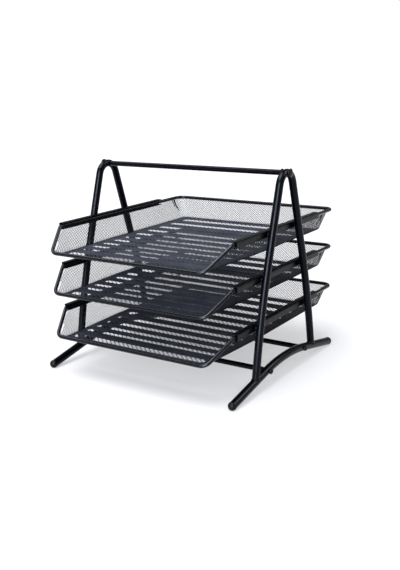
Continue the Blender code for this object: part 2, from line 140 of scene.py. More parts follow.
# Slotted floor plate.
PLATE_THICKNESS = 0.0006
SLOT_PITCH_COUNT = 9
SLOT_HALF_LENGTH = 0.103
SLOT_BACK_Y = 0.131
SLOT_BACK_PITCH = 0.0324
SLOT_FRONT_PITCH = 0.0204
SLOT_WIDTH_SHARE = 0.41
FRONT_SLOT_Y = -0.1325
FRONT_SLOT_WIDTH = 0.0115
SLOT_END_STEPS = 10

# Welds.
BEAD_RADIUS = 0.0010
BEAD_SIDES = 10
BEAD_RIPPLES = 17
BEAD_RIPPLE_SHARE = 0.12
BEAD_SEAM_STEPS = 72
RAIL_BEAD_STEPS = 9
RAIL_BEAD_HALF_LENGTH = 0.36 * RAIL_HEIGHT
RAIL_BEAD_OFFSET = 0.45 * LEG_RADIUS

# Camera: a long lens aimed a little above the frame's middle.
CAMERA_AZIMUTH = math.radians(33.35)
CAMERA_ELEVATION = math.radians(15.1)
CAMERA_ROLL = math.radians(-1.275)
CAMERA_DISTANCE = 1.1029
CAMERA_TARGET = Vector((0.0092, -0.0069, 0.1035))
SENSOR = 36.0
LENS = 50.3
CAMERA_SHIFT = (0.0022, 0.0020)

# Noise scales, in waves per metre. The coat's reflections are a little blue.
COAT_SHEEN = (0.80, 0.86, 1.0)
DUST_SCALE = 38.0
GLOSS_SCALE = 160.0
ORANGE_PEEL_SCALE = 1400.0
PLASTIC_GRAIN_SCALE = 900.0
ZINC_TONE_SCALE = 500.0
ZINC_MARK_SCALE = 2600.0
FLOOR_TONE_SCALE = 3.0

# Studio: name, azimuth and elevation in degrees, strength, spread in degrees, colour.
LIGHTS = (
    ("overhead", -20.0, 72.0, 4.6, 38.0, (0.98, 0.985, 1.0)),
    ("front_strip", 12.0, 16.0, 6.0, 36.0, (0.90, 0.94, 1.0)),
    ("left_fill", -90.0, 56.0, 1.2, 38.0, (0.97, 0.98, 1.0)),
    ("right_rim", 139.0, 40.0, 1.2, 30.0, (0.98, 0.985, 1.0)),
)
BACKDROP_STRENGTH = 1.0
AMBIENT_STRENGTH = 0.25
AMBIENT_COLOR = (0.98, 0.985, 1.0)
FLOOR_HALF_SIZE = 30.0
FLOOR_COLOR = (0.27, 0.27, 0.275)
FLOOR_GLOW = 1.75

handle_low, handle_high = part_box("handle_bar")
HANDLE_Y = (handle_low.y + handle_high.y) / 2.0
APEX_HEIGHT = (handle_low.z + handle_high.z) / 2.0
tube_low, tube_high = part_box("right_a_frame_tube")
FRAME_HALF_SPAN = (tube_low.x + tube_high.x) / 2.0
bar_low, bar_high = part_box("front_cross_bar")
CROSS_BAR_HEIGHT = (bar_low.z + bar_high.z) / 2.0
_, foot_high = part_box("right_foot_bar")
FOOT_ARCH_HEIGHT = foot_high.z - FOOT_RADIUS


# ---------------------------------------------------------------- materials


def new_material(name, color, roughness, specular, metallic=0.0):
    """Return a material, its node tree and its Principled shader."""
    material = bpy.data.materials.new(name)
    material.use_nodes = True
    tree = material.node_tree
    shader = tree.nodes["Principled BSDF"]
    shader.inputs["Base Color"].default_value = (*color, 1.0)
    shader.inputs["Roughness"].default_value = roughness
    shader.inputs["Specular IOR Level"].default_value = specular
    shader.inputs["Metallic"].default_value = metallic
    return material, tree, shader


def add_noise(tree, scale, detail):
    """Return the output of a noise texture that is fixed to the piece."""
    coordinates = tree.nodes.new("ShaderNodeTexCoord")
    noise = tree.nodes.new("ShaderNodeTexNoise")
    noise.inputs["Scale"].default_value = scale
    noise.inputs["Detail"].default_value = detail
    tree.links.new(coordinates.outputs["Object"], noise.inputs["Vector"])
    return noise.outputs["Fac"]


def add_range(tree, value, low, high, from_low=0.3, from_high=0.7):
    """Return a value remapped to lie between low and high."""
    node = tree.nodes.new("ShaderNodeMapRange")
    tree.links.new(value, node.inputs["Value"])
    node.inputs["From Min"].default_value = from_low
    node.inputs["From Max"].default_value = from_high
    node.inputs["To Min"].default_value = low
    node.inputs["To Max"].default_value = high
    return node.outputs["Result"]


def add_color_mix(tree, factor, dark, light):
    """Return a colour between two, led by a factor."""
    node = tree.nodes.new("ShaderNodeMix")
    node.data_type = "RGBA"
    tree.links.new(factor, node.inputs["Factor"])
    node.inputs["A"].default_value = (*dark, 1.0)
    node.inputs["B"].default_value = (*light, 1.0)
    return node.outputs["Result"]


def add_bump(tree, shader, height, strength, distance):
    """Link a height to the shader as a bump."""
    bump = tree.nodes.new("ShaderNodeBump")
    bump.inputs["Strength"].default_value = strength
    bump.inputs["Distance"].default_value = distance
    tree.links.new(height, bump.inputs["Height"])
    tree.links.new(bump.outputs["Normal"], shader.inputs["Normal"])


def powder_coat(name, dark, light, roughness, specular):
    """Make a satin powder coat: fine orange peel, uneven gloss and a few dusty, paler patches."""
    material, tree, shader = new_material(name, dark, roughness, specular)
    shader.inputs["Specular Tint"].default_value = (*COAT_SHEEN, 1.0)
    patches = add_range(tree, add_noise(tree, DUST_SCALE, 4.0), 0.0, 1.0, 0.42, 0.75)
    color = add_color_mix(tree, patches, dark, light)
    tree.links.new(color, shader.inputs["Base Color"])
    gloss = add_range(tree, add_noise(tree, GLOSS_SCALE, 3.0), roughness - 0.06, roughness + 0.08)
    tree.links.new(gloss, shader.inputs["Roughness"])
    add_bump(tree, shader, add_noise(tree, ORANGE_PEEL_SCALE, 2.0), 0.18, 0.0001)
    return material


def moulded_plastic(name, color, roughness):
    """Make a matt moulded plastic with a fine grain."""
    material, tree, shader = new_material(name, color, roughness, 0.12)
    grain = add_noise(tree, PLASTIC_GRAIN_SCALE, 4.0)
    tree.links.new(add_range(tree, grain, roughness - 0.08, roughness + 0.08), shader.inputs["Roughness"])
    add_bump(tree, shader, grain, 0.3, 0.0001)
    return material


def zinc_steel(name, color, roughness):
    """Make black-zinc steel with fine turning marks and a slightly uneven tone."""
    material, tree, shader = new_material(name, color, roughness, 0.5, metallic=0.85)
    tone = add_range(tree, add_noise(tree, ZINC_TONE_SCALE, 5.0), 0.0, 1.0)
    tree.links.new(add_color_mix(tree, tone, color, tuple(1.8 * part for part in color)),
                   shader.inputs["Base Color"])
    add_bump(tree, shader, add_noise(tree, ZINC_MARK_SCALE, 2.0), 0.25, 0.00005)
    return material


def light_table(name, color, glow):
    """Make the pale, matt studio floor, lit a little from below."""
    material, tree, shader = new_material(name, color, 0.9, 0.0)
    tone = add_range(tree, add_noise(tree, FLOOR_TONE_SCALE, 2.0), 0.0, 1.0)
    shade = add_color_mix(tree, tone, color, tuple(0.985 * part for part in color))
    tree.links.new(shade, shader.inputs["Base Color"])
    tree.links.new(shade, shader.inputs["Emission Color"])
    shader.inputs["Emission Strength"].default_value = glow
    return material


# ---------------------------------------------------------------- mesh building


def finish_piece(name, mesh, material, body, replaced=(), smooth=True):
    """Make an object of a mesh, set it in its place, hang it on its body and hide the parts it replaces."""
    mesh.materials.append(material)
    if smooth:
        mesh.shade_smooth()
        mesh.set_sharp_from_angle(angle=SHARP_ANGLE)
    piece = bpy.data.objects.new(name, mesh)
    piece.location.y = HANDLE_Y
    bpy.context.collection.objects.link(piece)
    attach(piece, body)
    if replaced:
        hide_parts(*replaced)
    return piece


def mesh_from(bm, name):
    """Turn a bmesh into a mesh with outward normals."""
    bmesh.ops.recalc_face_normals(bm, faces=bm.faces)
    mesh = bpy.data.meshes.new(name)
    bm.to_mesh(mesh)
    bm.free()
    return mesh


def arc(center, radius, start, end, steps):
    """Return (across, up) points on a circle between two angles, both ends included."""
    points = []
    for step in range(steps + 1):
        angle = start + (end - start) * step / steps
        points.append((center[0] + radius * math.cos(angle), center[1] + radius * math.sin(angle)))
    return points


def path_frames(points, closed):
    """Return a side and an up vector at each point of a path, without twist."""
    count = len(points)
    tangents = []
    for index in range(count):
        before = points[index - 1] if closed or index > 0 else points[index]
        after = points[(index + 1) % count] if closed or index < count - 1 else points[index]
        tangents.append((after - before).normalized())
    side = tangents[0].orthogonal().normalized()
    frames = []
    for tangent in tangents:
        side = (side - tangent * side.dot(tangent)).normalized()
        frames.append((side, tangent.cross(side)))
    return frames


def bridge(bm, first, second):
    """Join two rings of equal length with quads."""
    count = len(first)
    for step in range(count):
        after = (step + 1) % count
        bm.faces.new((first[step], first[after], second[after], second[step]))


def add_sweep(bm, points, radii, sides, closed=False):
    """Add a round bar along a path, with one radius for each point."""
    rings = []
    for center, radius, (side, up) in zip(points, radii, path_frames(points, closed)):
        ring = []
        for step in range(sides):
            angle = 2.0 * math.pi * step / sides
            ring.append(bm.verts.new(center + radius * (math.cos(angle) * side + math.sin(angle) * up)))
        rings.append(ring)
    for first, second in zip(rings, rings[1:]):
        bridge(bm, first, second)
    if closed:
        last, first = rings[-1], rings[0]
        offset = min(range(sides), key=lambda step: (first[step].co - last[0].co).length)
        bridge(bm, last, [first[(step + offset) % sides] for step in range(sides)])
    else:
        bm.faces.new(rings[0])
        bm.faces.new(rings[-1])


def add_turned(bm, profile, sides, origin, axis):
    """Add a body turned from (distance along axis, radius at an angle) pairs, closed at both ends."""
    side = axis.orthogonal().normalized()
    up = axis.cross(side)
    rings = []
    for along, radius_at in profile:
        ring = []
        for step in range(sides):
            angle = 2.0 * math.pi * step / sides
            reach = radius_at(angle) if callable(radius_at) else radius_at
            offset = reach * (math.cos(angle) * side + math.sin(angle) * up)
            ring.append(bm.verts.new(origin + axis * along + offset))
        rings.append(ring)
    for first, second in zip(rings, rings[1:]):
        bridge(bm, first, second)
    bm.faces.new(rings[0])
    bm.faces.new(rings[-1])


def rounded_corner(before, corner, after, radius, steps):
    """Return points round one corner of a 3D path."""
    back = (before - corner).normalized()
    ahead = (after - corner).normalized()
    half_angle = back.angle(ahead) / 2.0
    setback = radius / math.tan(half_angle)
    center = corner + (back + ahead).normalized() * radius / math.sin(half_angle)
    start = corner + back * setback - center
    end = corner + ahead * setback - center
    turn = start.angle(end)
    points = []
    for step in range(steps + 1):
        share = step / steps
        weight_start = math.sin((1.0 - share) * turn) / math.sin(turn)
        weight_end = math.sin(share * turn) / math.sin(turn)
        points.append(center + start * weight_start + end * weight_end)
    return points


def rounded_path(corners, radii, steps):
    """Return a closed path through 3D corners, each rounded with its own radius."""
    path = []
    count = len(corners)
    for index, corner in enumerate(corners):
        after = corners[(index + 1) % count]
        path += rounded_corner(corners[index - 1], corner, after, radii[index], steps)
    return path


# ---------------------------------------------------------------- frame


def leg_profile():
    """Return (y, z) points of the rear leg, from the apex down into the foot bar."""
    points = arc((0.0, APEX_HEIGHT - APEX_BEND_RADIUS), APEX_BEND_RADIUS, math.pi / 2.0, LEG_TILT_TOP,
                 APEX_STEPS)
    y, z = points[-1]
    y += LEG_STRAIGHT_LENGTH * math.sin(LEG_TILT_TOP)
    z -= LEG_STRAIGHT_LENGTH * math.cos(LEG_TILT_TOP)
    bow_center = (y - LEG_BOW_RADIUS * math.cos(LEG_TILT_TOP), z - LEG_BOW_RADIUS * math.sin(LEG_TILT_TOP))
    points += arc(bow_center, LEG_BOW_RADIUS, LEG_TILT_TOP, LEG_TILT_FOOT, BOW_STEPS)
    y, z = points[-1]
    y += LEG_END_LENGTH * math.sin(LEG_TILT_FOOT)
    z -= LEG_END_LENGTH * math.cos(LEG_TILT_FOOT)
    points.append((y, z))
    return points


def leg_y(z):
    """Return the rear leg's distance from the middle at a height."""
    profile = leg_profile()
    for (y_above, z_above), (y_below, z_below) in zip(profile, profile[1:]):
        if z_below <= z <= z_above:
            share = (z_above - z) / (z_above - z_below)
            return y_above + share * (y_below - y_above)
    return profile[-1][0]


def foot_height(y):
    """Return the height of the foot bar's centre line at a distance from the middle."""
    arc_end_y = FOOT_ARCH_RADIUS * math.sin(FOOT_END_TILT)
    if abs(y) < arc_end_y:
        return FOOT_ARCH_HEIGHT - FOOT_ARCH_RADIUS + math.sqrt(FOOT_ARCH_RADIUS ** 2 - y ** 2)
    arc_end_z = FOOT_ARCH_HEIGHT - FOOT_ARCH_RADIUS * (1.0 - math.cos(FOOT_END_TILT))
    return arc_end_z - (abs(y) - arc_end_y) * math.tan(FOOT_END_TILT)


def build_a_frame(side, sign):
    """Build one bent tube, from foot to apex to foot."""
    x = sign * FRAME_HALF_SPAN
    rear = [Vector((x, y, z)) for y, z in leg_profile()]
    front = [Vector((x, -point.y, point.z)) for point in reversed(rear[1:])]
    path = front + rear
    bm = bmesh.new()
    add_sweep(bm, path, [LEG_RADIUS] * len(path), TUBE_SIDES)
    name = f"{side}_a_frame_tube"
    finish_piece(f"{side}_bent_tube", mesh_from(bm, name), MATERIALS["tube"], "frame", [name])


def build_foot_bar(side, sign):
    """Build one arched foot bar."""
    x = sign * FRAME_HALF_SPAN
    arc_end_y = FOOT_ARCH_RADIUS * math.sin(FOOT_END_TILT)
    stations = [-FOOT_HALF_LENGTH]
    for step in range(-FOOT_ARCH_STEPS, FOOT_ARCH_STEPS + 1):
        stations.append(arc_end_y * step / FOOT_ARCH_STEPS)
    stations.append(FOOT_HALF_LENGTH)
    path = [Vector((x, y, foot_height(y))) for y in stations]
    bm = bmesh.new()
    add_sweep(bm, path, [FOOT_RADIUS] * len(path), TUBE_SIDES)
    name = f"{side}_foot_bar"
    finish_piece(f"{side}_arched_foot", mesh_from(bm, name), MATERIALS["tube"], "frame", [name])


def build_foot_plug(end, end_sign, side, sign):
    """Build a domed plug with a thin collar, flattened where it stands on the floor."""
    tip = Vector((sign * FRAME_HALF_SPAN, end_sign * FOOT_HALF_LENGTH, foot_height(FOOT_HALF_LENGTH)))
    axis = Vector((0.0, end_sign * math.cos(FOOT_END_TILT), -math.sin(FOOT_END_TILT)))
    profile = [
        (-PLUG_COLLAR, PLUG_NECK_RADIUS),
        (FIT_GAP, PLUG_NECK_RADIUS),
        (FIT_GAP, PLUG_EDGE_RADIUS),
        (FIT_GAP + PLUG_EDGE, PLUG_RADIUS),
    ]
    for step in range(1, DOME_STEPS):
        angle = math.pi / 2.0 * step / DOME_STEPS
        profile.append((FIT_GAP + PLUG_RADIUS * math.sin(angle), PLUG_RADIUS * math.cos(angle)))
    bm = bmesh.new()
    add_turned(bm, profile, TUBE_SIDES, tip, axis)
    trim = bmesh.ops.bisect_plane(
        bm, geom=bm.verts[:] + bm.edges[:] + bm.faces[:], plane_co=(0.0, 0.0, 0.0),
        plane_no=(0.0, 0.0, -1.0), clear_outer=True)
    cut_edges = [item for item in trim["geom_cut"] if isinstance(item, bmesh.types.BMEdge)]
    bmesh.ops.contextual_create(bm, geom=cut_edges)
    name = f"{end}_{side}_foot_plug"
    finish_piece(f"{name}_cap", mesh_from(bm, name), MATERIALS["plastic"], "frame", [name])


def build_tie_bar(name, new_name, y, z, half_length):
    """Build a round bar along X with chamfered ends."""
    stops = [
        (-half_length, BAR_RADIUS - BAR_CHAMFER),
        (BAR_CHAMFER - half_length, BAR_RADIUS),
        (0.0, BAR_RADIUS),
        (half_length - BAR_CHAMFER, BAR_RADIUS),
        (half_length, BAR_RADIUS - BAR_CHAMFER),
    ]
    bm = bmesh.new()
    add_sweep(bm, [Vector((x, y, z)) for x, _ in stops], [radius for _, radius in stops], TUBE_SIDES)
    finish_piece(new_name, mesh_from(bm, name), MATERIALS["tube"], "frame", [name])


def hex_radius(angle):
    """Return the distance from the centre to the side of a hexagon socket."""
    sector = math.pi / 3.0
    return HEX_SOCKET_RADIUS * math.cos(sector / 2.0) / math.cos(angle % sector - sector / 2.0)


def build_bolt(name, sign, seat, y, z, bar_end, head_radius):
    """Build a domed bolt along X with a hexagon socket in its head."""
    axis = Vector((float(sign), 0.0, 0.0))
    height = BOLT_HEAD_HEIGHT
    profile = [
        (bar_end - BOLT_REACH - seat, BOLT_SHANK_RADIUS),
        (0.0, BOLT_SHANK_RADIUS),
        (0.0, 0.96 * head_radius),
        (0.08 * height, head_radius),
        (0.30 * height, head_radius),
        (0.50 * height, 0.96 * head_radius),
        (0.70 * height, 0.87 * head_radius),
        (0.87 * height, 0.73 * head_radius),
        (0.97 * height, 0.56 * head_radius),
        (height, 0.44 * head_radius),
        (height, hex_radius),
        (height - HEX_SOCKET_DEPTH, hex_radius),
    ]
    bm = bmesh.new()
    add_turned(bm, profile, BOLT_SIDES, Vector((sign * seat, y, z)), axis)
    finish_piece(f"{name}_head", mesh_from(bm, name), MATERIALS["zinc"], "frame", [name])


def build_washer(side, sign):
    """Build the flat washer between the handle and the apex."""
    outer = FRAME_HALF_SPAN - LEG_RADIUS - FIT_GAP
    profile = [
        (0.0, WASHER_RADIUS - WASHER_CHAMFER),
        (WASHER_CHAMFER, WASHER_RADIUS),
        (WASHER_THICKNESS - WASHER_CHAMFER, WASHER_RADIUS),
        (WASHER_THICKNESS, WASHER_RADIUS - WASHER_CHAMFER),
    ]
    seat = Vector((sign * outer, 0.0, APEX_HEIGHT))
    inward = Vector((-float(sign), 0.0, 0.0))
    bm = bmesh.new()
    add_turned(bm, profile, TUBE_SIDES, seat, inward)
    name = f"{side}_handle_washer"
    finish_piece(f"{side}_washer", mesh_from(bm, name), MATERIALS["zinc"], "frame", [name])


def rail_outline(inner, outer):
    """Return the (x, z) outline of a C-shaped rail with rounded bends."""
    half = RAIL_HEIGHT / 2.0
    bend = RAIL_BEND_RADIUS
    inside = bend - RAIL_SHEET
    lip = RAIL_SHEET / 2.0
    outline = arc((inner + lip, -half + lip), lip, math.pi, 1.5 * math.pi, 3)
    outline += arc((outer - bend, -half + bend), bend, -0.5 * math.pi, 0.0, 5)
    outline += arc((outer - bend, half - bend), bend, 0.0, 0.5 * math.pi, 5)
    outline += arc((inner + lip, half - lip), lip, 0.5 * math.pi, 1.5 * math.pi, 6)
    outline += arc((outer - bend, half - bend), inside, 0.5 * math.pi, 0.0, 3)
    outline += arc((outer - bend, -half + bend), inside, 0.0, -0.5 * math.pi, 3)
    outline += arc((inner + lip, -half + lip), lip, 0.5 * math.pi, math.pi, 3)[:-1]
    return outline


def build_rail(side, sign, tier):
    """Build one C-shaped rail."""
    name = f"{side}_{tier}_rail"
    low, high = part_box(name)
    height = (low.z + high.z) / 2.0
    outer = FRAME_HALF_SPAN - LEG_RADIUS - FIT_GAP
    outline = rail_outline(outer - RAIL_DEPTH, outer)
    bm = bmesh.new()
    ends = []
    for y in (low.y, high.y):
        ends.append([bm.verts.new((sign * x, y - HANDLE_Y, height + z)) for x, z in outline])
    bridge(bm, ends[0], ends[1])
    for end in ends:
        bm.faces.new(end)
    finish_piece(f"{side}_{tier}_channel", mesh_from(bm, name), MATERIALS["rail"], "frame", [name])


def foot_bead_path(sign, end_sign):
    """Return the closed seam where a leg's round side meets the round foot bar."""
    profile = leg_profile()
    (y_high, z_high), (y_low, z_low) = profile[-2], profile[-1]
    low = Vector((sign * FRAME_HALF_SPAN, end_sign * y_low, z_low))
    high = Vector((sign * FRAME_HALF_SPAN, end_sign * y_high, z_high))
    leg_axis = (high - low).normalized()
    across = Vector((1.0, 0.0, 0.0))
    ahead = leg_axis.cross(across)
    bar_axis = Vector((0.0, end_sign * math.cos(FOOT_END_TILT), -math.sin(FOOT_END_TILT)))
    bar_point = Vector((low.x, low.y, foot_height(y_low)))
    seam = []
    for step in range(BEAD_SEAM_STEPS):
        angle = 2.0 * math.pi * step / BEAD_SEAM_STEPS
        start = low + LEG_RADIUS * (math.cos(angle) * across + math.sin(angle) * ahead)
        offset = start - bar_point
        flat_offset = offset - bar_axis * offset.dot(bar_axis)
        flat_axis = leg_axis - bar_axis * leg_axis.dot(bar_axis)
        a = flat_axis.length_squared
        b = 2.0 * flat_offset.dot(flat_axis)
        c = flat_offset.length_squared - FOOT_RADIUS ** 2
        along = (-b + math.sqrt(max(b * b - 4.0 * a * c, 0.0))) / (2.0 * a)
        seam.append(start + leg_axis * along)
    return seam


def build_foot_beads(side, sign):
    """Build the rippled weld beads where both legs meet the foot bar."""
    bm = bmesh.new()
    for _, end_sign in ENDS:
        seam = foot_bead_path(sign, end_sign)
        radii = []
        for step in range(len(seam)):
            ripple = math.cos(2.0 * math.pi * BEAD_RIPPLES * step / len(seam))
            radii.append(BEAD_RADIUS * (1.0 + BEAD_RIPPLE_SHARE * ripple))
        add_sweep(bm, seam, radii, BEAD_SIDES, closed=True)
    finish_piece(f"{side}_foot_welds", mesh_from(bm, f"{side}_foot_welds"), MATERIALS["tube"], "frame")


def rail_bead(x, y_sign, edge, height):
    """Return the points and the radii of one fillet weld, thinner towards its ends."""
    path = []
    radii = []
    for step in range(RAIL_BEAD_STEPS):
        z = height + RAIL_BEAD_HALF_LENGTH * (2.0 * step / (RAIL_BEAD_STEPS - 1) - 1.0)
        path.append(Vector((x, y_sign * leg_y(z) + edge * RAIL_BEAD_OFFSET, z)))
        swell = math.sin(math.pi * (step + 0.5) / RAIL_BEAD_STEPS)
        radii.append(BEAD_RADIUS * (0.35 + 0.65 * swell))
    return path, radii


def build_rail_beads(side, sign):
    """Build the short fillet welds between the rails and the legs."""
    bm = bmesh.new()
    x = sign * (FRAME_HALF_SPAN - LEG_RADIUS)
    for tier in TIERS:
        low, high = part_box(f"{side}_{tier}_rail")
        height = (low.z + high.z) / 2.0
        for _, end_sign in ENDS:
            for edge in (-1, 1):
                path, radii = rail_bead(x, end_sign, edge, height)
                add_sweep(bm, path, radii, BEAD_SIDES)
    finish_piece(f"{side}_rail_welds", mesh_from(bm, f"{side}_rail_welds"), MATERIALS["tube"], "frame")


def build_frame():
    """Build everything that rides on the frame."""
    handle_half = FRAME_HALF_SPAN - LEG_RADIUS - WASHER_THICKNESS - 2.0 * FIT_GAP
    cross_half = FRAME_HALF_SPAN - FOOT_RADIUS - FIT_GAP
    build_tie_bar("handle_bar", "carrying_handle", 0.0, APEX_HEIGHT, handle_half)
    for end, end_sign in ENDS:
        build_tie_bar(f"{end}_cross_bar", f"{end}_tie_rod", end_sign * CROSS_BAR_Y, CROSS_BAR_HEIGHT,
                      cross_half)
    for side, sign in SIDES:
        build_a_frame(side, sign)
        build_foot_bar(side, sign)
        build_foot_beads(side, sign)
        build_rail_beads(side, sign)
        build_washer(side, sign)
        for tier in TIERS:
            build_rail(side, sign, tier)
        build_bolt(f"{side}_handle_bolt", sign, FRAME_HALF_SPAN + LEG_RADIUS + FIT_GAP, 0.0, APEX_HEIGHT,
                   handle_half, HANDLE_BOLT_RADIUS)
        for end, end_sign in ENDS:
            build_foot_plug(end, end_sign, side, sign)
            build_bolt(f"{end}_{side}_foot_bolt", sign, FRAME_HALF_SPAN + FOOT_RADIUS + FIT_GAP,
                       end_sign * CROSS_BAR_Y, CROSS_BAR_HEIGHT, cross_half, FOOT_BOLT_RADIUS)


# ---------------------------------------------------------------- trays


def rim_path():
    """Return the rim wire's centre line, with z measured from the rail's middle."""
    corners = [
        Vector((-RIM_FRONT_HALF_WIDTH, RIM_FRONT_Y, -RIM_FRONT_DROP)),
        Vector((RIM_FRONT_HALF_WIDTH, RIM_FRONT_Y, -RIM_FRONT_DROP)),
        Vector((RIM_HALF_WIDTH, RIM_BEND_Y, 0.0)),
        Vector((RIM_HALF_WIDTH, RIM_BACK_Y, 0.0)),
        Vector((-RIM_HALF_WIDTH, RIM_BACK_Y, 0.0)),
        Vector((-RIM_HALF_WIDTH, RIM_BEND_Y, 0.0)),
    ]
    front, side, back = RIM_FRONT_CORNER, RIM_SIDE_BEND, RIM_BACK_CORNER
    return rounded_path(corners, [front, front, side, back, back, side], RIM_STEPS)


def floor_half_width(y):
    """Return half the floor's width, which narrows towards the front."""
    if y > FLOOR_TAPER_START_Y:
        return FLOOR_HALF_WIDTH
    share = (FLOOR_TAPER_START_Y - y) / (FLOOR_TAPER_START_Y - FLOOR_FRONT_Y)
    return FLOOR_HALF_WIDTH + share * (FLOOR_FRONT_HALF_WIDTH - FLOOR_HALF_WIDTH)


def wall_stations():
    """Return (wall top, floor edge) pairs round the right half, from front to back.

    The wall's top follows the rim wire.
    """
    front = Vector((RIM_FRONT_HALF_WIDTH - WALL_INSET, RIM_FRONT_Y + WALL_INSET, -RIM_FRONT_DROP))
    bend = Vector((RIM_HALF_WIDTH - WALL_INSET, RIM_BEND_Y, 0.0))
    back = Vector((bend.x, RIM_BACK_Y - WALL_INSET, 0.0))
    floor_front = Vector((FLOOR_FRONT_HALF_WIDTH, FLOOR_FRONT_Y, -FLOOR_DROP))
    floor_side = Vector((FLOOR_HALF_WIDTH, FLOOR_TAPER_START_Y, -FLOOR_DROP))
    floor_back = Vector((FLOOR_HALF_WIDTH, FLOOR_BACK_Y, -FLOOR_DROP))
    corner = RIM_FRONT_CORNER - WALL_INSET
    middle_top = Vector((0.0, front.y, front.z))
    middle_floor = Vector((0.0, floor_front.y, floor_front.z))
    arc_tops = rounded_corner(middle_top, front, bend, corner, CORNER_STEPS)
    arc_feet = rounded_corner(middle_floor, floor_front, floor_side, corner, CORNER_STEPS)
    tops = [middle_top] + arc_tops
    feet = [middle_floor] + arc_feet
    for step in range(1, CORNER_STEPS + 1):
        share = step / CORNER_STEPS
        tops.append(arc_tops[-1].lerp(bend, share))
        y = arc_feet[-1].y + share * (RIM_BEND_Y - arc_feet[-1].y)
        feet.append(Vector((floor_half_width(y), y, -FLOOR_DROP)))
    tops.append(Vector((bend.x, FLOOR_TAPER_START_Y, 0.0)))
    feet.append(floor_side)
    corner = RIM_BACK_CORNER - WALL_INSET
    back_middle_top = Vector((0.0, back.y, back.z))
    back_middle_floor = Vector((0.0, floor_back.y, floor_back.z))
    tops += rounded_corner(bend, back, back_middle_top, corner, CORNER_STEPS)
    feet += rounded_corner(floor_side, floor_back, back_middle_floor, corner, CORNER_STEPS)
    tops.append(back_middle_top)
    feet.append(back_middle_floor)
    return list(zip(tops, feet))


def unit(vectors):
    """Return rows scaled to length 1."""
    return vectors / np.maximum(np.linalg.norm(vectors, axis=1, keepdims=True), 1e-9)


class WallSurface:
    """The basket's wall as a sheet: s runs round the tray, w runs from the floor up the wall."""

    def __init__(self):
        right = wall_stations()
        left = [(Vector((-top.x, top.y, top.z)), Vector((-foot.x, foot.y, foot.z)))
                for top, foot in reversed(right[:-1])]
        self.top = np.array([tuple(top) for top, _ in right + left])
        self.foot = np.array([tuple(foot) for _, foot in right + left])
        middle = (self.top + self.foot) / 2.0
        steps = np.linalg.norm(np.diff(middle, axis=0), axis=1)
        self.stops = np.concatenate([[0.0], np.cumsum(steps)])
        self.length = self.stops[-1]
        tangent = unit(np.gradient(self.foot, axis=0))
        self.inward = np.stack([-tangent[:, 1], tangent[:, 0], np.zeros(len(tangent))], axis=1)

    def at(self, s):
        """Return foot, top and inward vectors at distances round the tray."""
        read = []
        for table in (self.foot, self.top, self.inward):
            read.append(np.stack([np.interp(s, self.stops, table[:, axis]) for axis in range(3)], axis=1))
        return read

    def fold_and_height(self, s):
        """Return the fold's radius, its length along the sheet and the wall's height along the sheet."""
        foot, top, _ = self.at(s)
        wall = np.linalg.norm(top - foot, axis=1)
        radius = np.minimum(FOLD_RADIUS, LOW_WALL_FOLD_SHARE * wall)
        fold = FOLD_LENGTH_RATIO * radius
        return radius, fold, fold + wall - radius

    def place(self, s, w):
        """Return points on the sheet."""
        foot, top, inward = self.at(s)
        up = unit(top - foot)
        radius, fold, _ = self.fold_and_height(s)
        radius, fold = radius[:, None], fold[:, None]
        w = w[:, None]
        share = np.clip(w / fold, 0.0, 1.0)
        bend = foot + inward * radius * (1.0 - share) ** 2 + up * radius * share ** 2
        return bend + up * np.maximum(w - fold, 0.0) + inward * np.maximum(-w, 0.0)


